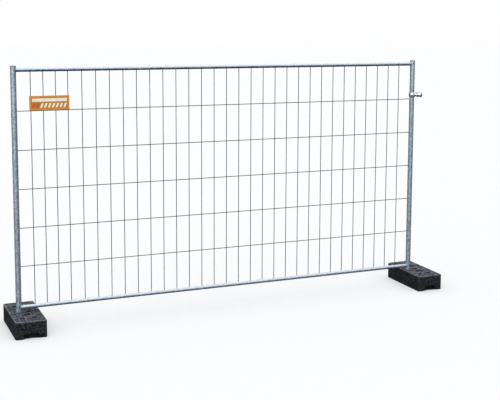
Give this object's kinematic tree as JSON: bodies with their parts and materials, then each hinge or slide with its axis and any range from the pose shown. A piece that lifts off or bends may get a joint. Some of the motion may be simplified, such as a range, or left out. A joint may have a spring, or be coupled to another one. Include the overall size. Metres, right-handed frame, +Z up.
{
  "type": "temporary fence panel",
  "caption": "Free-standing site fence panel: welded tube frame with a wire mesh and a hooked sign plate, loose rubber feet and a bolted strap clamp for the next panel.",
  "frame": {"origin": "on the ground, midway between the outer sides of the feet, in the plane of the posts", "axes": "+X along the panel towards the coupler, +Y towards the back, +Z up"},
  "size_m": [3.718, 0.56, 2.032],
  "materials": {
    "frame_tube": "galvanised tube with a soft spangle",
    "mesh_wire": "galvanised drawn wire",
    "cap_plastic": "grey moulded plastic",
    "sign_paint": "orange enamel on sheet steel",
    "foot_rubber": "black bonded rubber crumb",
    "coupler_zinc": "bright zinc plate"
  },
  "bodies": {
    "panel": {"left_post": "frame_tube", "right_post": "frame_tube", "left_post_cap": "cap_plastic", "right_post_cap": "cap_plastic", "top_rail": "frame_tube", "bottom_rail": "frame_tube", "vertical_wire_01": "mesh_wire", "vertical_wire_02": "mesh_wire", "vertical_wire_03": "mesh_wire", "vertical_wire_04": "mesh_wire", "vertical_wire_05": "mesh_wire", "vertical_wire_06": "mesh_wire", "vertical_wire_07": "mesh_wire", "vertical_wire_08": "mesh_wire", "vertical_wire_09": "mesh_wire", "vertical_wire_10": "mesh_wire", "vertical_wire_11": "mesh_wire", "vertical_wire_12": "mesh_wire", "vertical_wire_13": "mesh_wire", "vertical_wire_14": "mesh_wire", "vertical_wire_15": "mesh_wire", "vertical_wire_16": "mesh_wire", "vertical_wire_17": "mesh_wire", "vertical_wire_18": "mesh_wire", "vertical_wire_19": "mesh_wire", "vertical_wire_20": "mesh_wire", "vertical_wire_21": "mesh_wire", "vertical_wire_22": "mesh_wire", "vertical_wire_23": "mesh_wire", "vertical_wire_24": "mesh_wire", "vertical_wire_25": "mesh_wire", "vertical_wire_26": "mesh_wire", "vertical_wire_27": "mesh_wire", "vertical_wire_28": "mesh_wire", "vertical_wire_29": "mesh_wire", "vertical_wire_30": "mesh_wire", "vertical_wire_31": "mesh_wire", "horizontal_wire_1": "mesh_wire", "horizontal_wire_2": "mesh_wire", "horizontal_wire_3": "mesh_wire", "horizontal_wire_4": "mesh_wire", "horizontal_wire_5": "mesh_wire", "sign_plate": "sign_paint"},
    "left_foot": {"left_foot": "foot_rubber"},
    "right_foot": {"right_foot": "foot_rubber"},
    "coupler_rear": {"coupler_rear": "coupler_zinc", "coupler_bolt": "coupler_zinc"},
    "coupler_front": {"coupler_front": "coupler_zinc", "coupler_washer": "coupler_zinc"},
    "coupler_nut": {"coupler_nut": "coupler_zinc"}
  },
  "joints": [
    {"name": "left_foot_swivel", "type": "hinge", "parent": "panel", "child": "left_foot", "pos_m": [-1.784, 0, 0.024], "axis": [0, 0, 1], "continuous": true},
    {"name": "right_foot_swivel", "type": "hinge", "parent": "panel", "child": "right_foot", "pos_m": [1.674, 0, 0.024], "axis": [0, 0, 1], "continuous": true},
    {"name": "coupler_swing", "type": "hinge", "parent": "panel", "child": "coupler_rear", "pos_m": [1.674, 0, 1.722], "axis": [0, 0, 1], "continuous": true},
    {"name": "coupler_open", "type": "slide", "parent": "coupler_rear", "child": "coupler_front", "axis": [0, -1, 0], "range_m": [0, 0.003]},
    {"name": "coupler_nut_turn", "type": "hinge", "parent": "coupler_front", "child": "coupler_nut", "pos_m": [1.712, -0.02, 1.722], "axis": [0, -1, 0], "range_deg": [0, 720]}
  ],
  "couplings": [
    {"joint": "coupler_nut_turn", "follows": "coupler_open", "rad_per_m": 4188.8}
  ]
}
